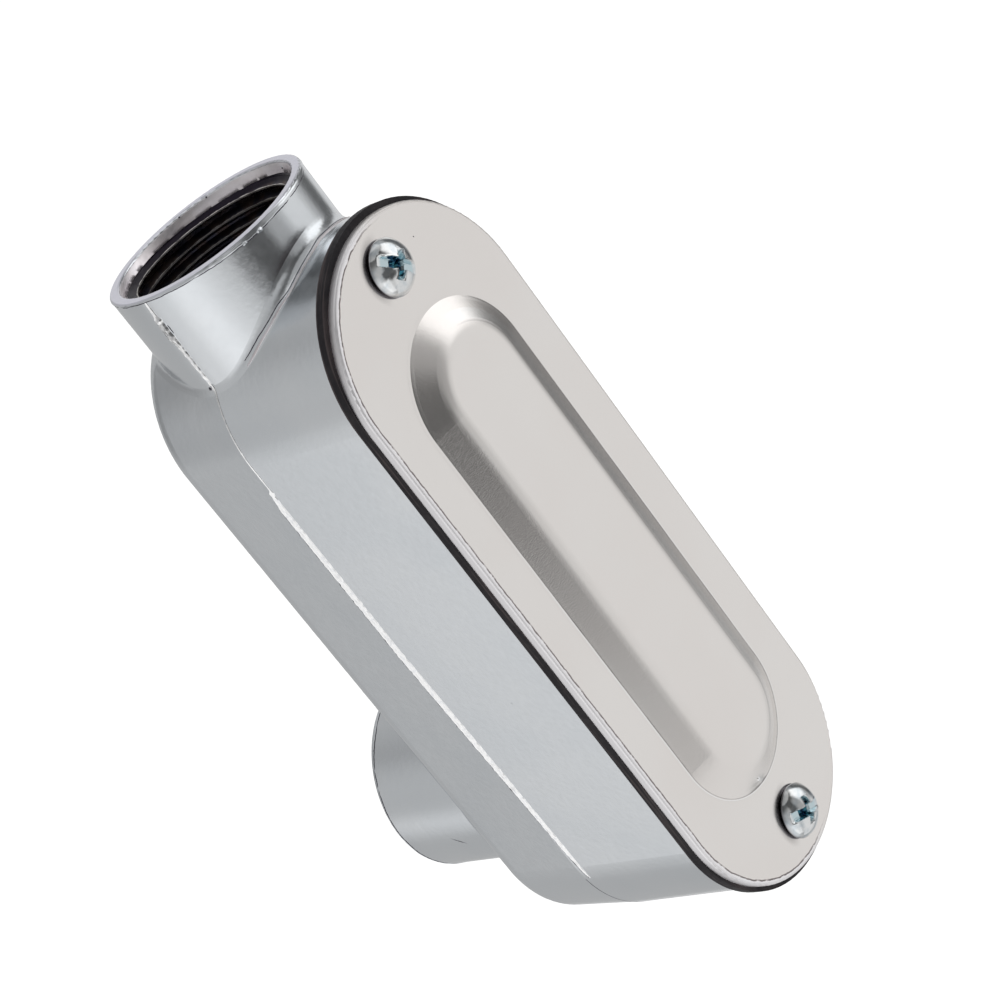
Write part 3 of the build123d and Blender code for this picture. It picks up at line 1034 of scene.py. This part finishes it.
# Raised spots painted near black stand for these pits: their darkness is painted shade
DARK_PITS = (
    ((7.75, 11.5, -0.25), (0.14, 0.14, 0.14)),
    ((11.05, 8.35, -0.30), (0.12, 0.12, 0.16)),
    ((12.6, -5.95, -1.10), (0.12, 0.26, 0.26)),
    ((-15.38, 0.72, -3.6), (0.12, 0.13, 0.50)),
    ((-15.38, 0.80, -5.7), (0.12, 0.12, 0.65)),
    ((-15.38, -0.60, -5.0), (0.06, 0.09, 0.75)),
    ((-15.75, 0.28, -14.6), (0.14, 0.16, 0.24)),
)
COVER_NICK = (((-2.57, -23.88, -104.92), (0.30, 0.20, 0.36)),)
COVER_DARK_MARKS = (((6.83, -23.40, -14.22), (0.08, 0.03, 0.10)),)


def lumps(name, rows, body, material):
    """One piece of several small rough lumps, each half sunk in the surface."""
    points = []
    faces = []
    for row, (middle, sizes) in enumerate(rows):
        ball = bmesh.new()
        bmesh.ops.create_icosphere(ball, subdivisions=3, radius=1.0)
        base = len(points)
        for vertex in ball.verts:
            swell = 1 + 0.35 * wobble(*(vertex.co * 1.7 + Vector((row * 9, 0, 0))))
            place = [middle[k] + vertex.co[k] * sizes[k] * swell for k in range(3)]
            points.append(Vector(place) * MM)
        faces += [tuple(base + vertex.index for vertex in face.verts) for face in ball.faces]
        ball.free()
    add_piece(name, points, faces, body, material, sharp_angle=60)


# A fine raised scratch on the left of the rear hub, in millimetres

SCRATCH_ENDS = ((-15.29, 22.91, -96.92), (-14.98, 20.89, -98.61))
SCRATCH_WIDTH = 0.14
SCRATCH_HEIGHT = 0.05
SCRATCH_SINK = 0.05
SCRATCH_STEP = 0.1


def rear_hub_scratch(casting, material):
    start, end = (Vector(place) * MM for place in SCRATCH_ENDS)
    toward = Vector((1, 0, 0))
    count = int((end - start).length / (SCRATCH_STEP * MM))
    stations = []
    for step in range(count + 1):
        share = step / count
        hit, normal, _, _ = casting.ray_cast(start.lerp(end, share) - toward * 2 * MM, toward)
        if hit is None:
            continue
        sideways = normal.cross(end - start).normalized()
        size = math.sin(math.pi * min(0.96, max(0.04, share)))
        size *= 1 + 0.3 * wobble(step * 0.5, 60.0)
        half = SCRATCH_WIDTH / 2 * size
        section = ((-half, -SCRATCH_SINK), (0, SCRATCH_HEIGHT * size), (half, -SCRATCH_SINK))
        stations.append((hit, normal, sideways, in_mm(section)))
    add_ridge("rear_hub_scratch", stations, material)


# Cover screws: a pan head with a slot and a cross recess, and a machine screw thread

HEAD_RADIUS = 3.95 * MM
HEAD_HEIGHT = 2.62 * MM
HEAD_DOME_RADIUS = 5.14 * MM
HEAD_EDGE_DROP = 0.26 * MM  # how far the rounded edge falls below the dome
HEAD_EDGE_START = 2.9 * MM
HEAD_SIDE = ((3.95, 0.46), (3.93, 0.36), (3.85, 0.22), (3.72, 0.10), (3.55, 0.03), (3.40, 0.0))
HEAD_RINGS = 62
HEAD_SEGMENTS = 264
SLOT_HALF_WIDTH = 0.675 * MM
SLOT_DEPTH = 1.3 * MM
CROSS_HALF_WIDTH = 0.56 * MM
CROSS_REACH = 2.1 * MM
CROSS_DEPTH = 2.2 * MM
CROSS_FLAT = 0.45 * MM  # from here the recess rises towards the ends of its arms
RECESS_WALL = 0.12 * MM
RECESS_UNEVENNESS = 0.13 * MM
RECESS_BURR = 0.06 * MM
BURR_MIDDLE = 0.13 * MM  # its crest's distance outside the recess
BURR_HALF_WIDTH = 0.14 * MM
BURR_LEAST_DROP = 0.02 * MM  # deeper than this under the dome there is no burr
SHANK_CREST = 2.08 * MM
SHANK_ROOT = 1.66 * MM
SHANK_PITCH = 25.4 / 32 * MM
SHANK_START = -0.3 * MM  # inside the head
SHANK_LENGTH = 9.45 * MM
SHANK_TIP = 0.5 * MM
SHANK_SEGMENTS = 72
SHANK_STEP = 0.09 * MM

# Each screw's slot angle in degrees and the seed of its unevenness
COVER_SCREWS = (("upper_screw", -48.0, 1.0), ("lower_screw", -23.0, 2.0))


def head_height(x, z, slot_angle, seed):
    """The height of a screw head's surface above its seat, at a place measured from its axis."""
    radius = math.hypot(x, z)
    dome = HEAD_HEIGHT - HEAD_DOME_RADIUS + math.sqrt(HEAD_DOME_RADIUS**2 - radius**2)
    edge = max(0.0, (radius - HEAD_EDGE_START) / (HEAD_RADIUS - HEAD_EDGE_START))
    dome -= HEAD_EDGE_DROP * edge**3
    coarse = (x / MM * 1.3, z / MM * 1.3)
    shaken_x = x + RECESS_UNEVENNESS * wobble(*coarse, seed)
    shaken_z = z + RECESS_UNEVENNESS * wobble(*coarse, seed + 30)
    along = abs(shaken_x * math.cos(slot_angle) + shaken_z * math.sin(slot_angle))
    across = abs(shaken_z * math.cos(slot_angle) - shaken_x * math.sin(slot_angle))
    cuts = [(across - SLOT_HALF_WIDTH, HEAD_HEIGHT - SLOT_DEPTH)]
    for beside, out in ((across, along), (along, across)):
        cuts.append((max(beside - CROSS_HALF_WIDTH, out - CROSS_REACH),
                     HEAD_HEIGHT - CROSS_DEPTH + max(0.0, out - CROSS_FLAT)))
    height = dome
    lip = 0.0
    for outside, floor in cuts:
        if floor < dome:
            wall = between(outside, -RECESS_WALL, RECESS_WALL)
            height = min(height, floor + (dome - floor) * wall)
            lip = max(lip, 1 - abs(outside - BURR_MIDDLE) / BURR_HALF_WIDTH)
    burr = RECESS_BURR * (0.6 + 0.8 * wobble(x / MM * 1.6, z / MM * 1.6, seed + 60))
    if height > dome - BURR_LEAST_DROP:
        height += burr * between(lip, 0.0, 1.0)
    return height


def circle(radius, count):
    """The x and z of points spread evenly round the axis."""
    angles = [2 * math.pi * k / count for k in range(count)]
    return [(radius * math.cos(angle), radius * math.sin(angle)) for angle in angles]


def screw_head(slot_angle, seed):
    """Points and faces of a head. In each point x and z are measured from the screw's axis,
    and y from its seat, outwards negative."""
    points = [Vector((0, -head_height(0, 0, slot_angle, seed), 0))]
    for ring in range(1, HEAD_RINGS + 1):
        for x, z in circle(HEAD_RADIUS * ring / HEAD_RINGS, HEAD_SEGMENTS):
            points.append(Vector((x, -head_height(x, z, slot_angle, seed), z)))
    for radius, height in HEAD_SIDE:
        points += [Vector((x, -height, z)) * MM for x, z in circle(radius, HEAD_SEGMENTS)]
    faces = [(0, 1 + k, 1 + (k + 1) % HEAD_SEGMENTS) for k in range(HEAD_SEGMENTS)]
    side_rings = HEAD_RINGS + len(HEAD_SIDE)
    for ring in range(side_rings - 1):
        here = 1 + ring * HEAD_SEGMENTS
        there = here + HEAD_SEGMENTS
        for k in range(HEAD_SEGMENTS):
            after = (k + 1) % HEAD_SEGMENTS
            faces.append((here + k, there + k, there + after, here + after))
    last = 1 + (side_rings - 1) * HEAD_SEGMENTS
    faces.append(tuple(last + k for k in range(HEAD_SEGMENTS)))
    return points, faces


def screw_shank():
    """Points and faces of a threaded shank, in the head's coordinates."""
    count = int((SHANK_LENGTH - SHANK_START) / SHANK_STEP) + 1
    points = []
    for ring in range(count):
        y = SHANK_START + (SHANK_LENGTH - SHANK_START) * ring / (count - 1)
        tip = min(SHANK_TIP, max(0.0, y - (SHANK_LENGTH - SHANK_TIP)))
        for k in range(SHANK_SEGMENTS):
            turn = k / SHANK_SEGMENTS
            place = (y / SHANK_PITCH + turn) % 1.0
            flank = between(abs(place - 0.5) * 2, 0.12, 0.90)
            radius = SHANK_ROOT + (SHANK_CREST - SHANK_ROOT) * flank
            radius = min(radius, SHANK_CREST - tip)
            angle = 2 * math.pi * turn
            points.append(Vector((radius * math.cos(angle), y, radius * math.sin(angle))))
    return points, sweep_faces(count, SHANK_SEGMENTS)


def cover_screw(node, slot_angle, seed):
    low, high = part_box(node)
    axis_z = (low.z + high.z) / 2
    zinc = zinc_plating(axis_z)
    dress(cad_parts[node], zinc)
    seat = Vector((0, COVER_FACE_Y, axis_z))
    points, faces = screw_head(math.radians(slot_angle), seed)
    shank_points, shank_faces = screw_shank()
    faces += [tuple(len(points) + k for k in face) for face in shank_faces]
    points += shank_points
    points = [point + seat for point in points]
    piece = add_piece(node + "_detailed", points, faces, node, zinc, sharp_angle=38)
    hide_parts(node)


# The hubs' mouths, and the sides of the upper one where its thread starts and its taper is
# deepest
UPPER_MOUTH = (0, 0, 0)
REAR_MOUTH = (0, rear_hub_mouth_y, REAR_HUB_AXIS_Z)
UPPER_THREAD_START = (-0.3, -0.954, 0)
UPPER_MOUTH_DEEPEST = (0.94, 0.34, 0)


def build():
    casting_metal = cast_aluminium()
    thread_metal = cut_thread()
    bare_metal = trimmed_metal()
    # Near black for dark marks and for painted shade
    marks_and_shade = dark_marks_and_shade()
    rosy_metal = mouth_metal()
    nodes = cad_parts
    dress(nodes["casting"], casting_metal)
    dress(nodes["cover_plate"], stamped_cover())
    dress(nodes["gasket"], black_rubber())
    casting = surface_tree(nodes["casting"])
    down = (0, 0, -1)
    forward = (0, -1, 0)
    right = (1, 0, 0)
    thread_ridge("upper_thread", UPPER_MOUTH, down, UPPER_THREAD_START, thread_metal)
    thread_ridge("rear_thread", REAR_MOUTH, forward, right, thread_metal)
    tapered_mouth("upper_tapered_mouth", UPPER_MOUTH, down, UPPER_MOUTH_DEEPEST, rosy_metal)
    tapered_mouth("rear_tapered_mouth", REAR_MOUTH, forward, right, rosy_metal)
    mouth_collar("upper", UPPER_MOUTH, (0, 0, 1), casting_metal, marks_and_shade)
    mouth_collar("rear", REAR_MOUTH, (0, 1, 0), casting_metal, marks_and_shade)
    parting_flash("left", -1, casting, bare_metal, marks_and_shade)
    parting_flash("right", 1, casting, bare_metal, marks_and_shade)
    lower_parting_line(casting, marks_and_shade)
    blend_bead("blend_bead", casting, BEAD_SECTION, 0.0, rosy_metal)
    blend_bead("blend_shadow_line", casting, SHADOW_LINE_SECTION, SHADOW_LINE_OFFSET, marks_and_shade)
    lumps("rim_burrs", RIM_BURRS, "casting", casting_metal)
    lumps("cast_specks", CAST_SPECKS, "casting", casting_metal)
    lumps("dark_pits", DARK_PITS, "casting", marks_and_shade)
    lumps("cover_nick", COVER_NICK, "cover", bare_metal)
    lumps("cover_dark_marks", COVER_DARK_MARKS, "cover", marks_and_shade)
    rear_hub_scratch(casting, marks_and_shade)
    for node, slot_angle, seed in COVER_SCREWS:
        cover_screw(node, slot_angle, seed)


make_camera()
make_world()
make_floor()
make_top_light()
build()
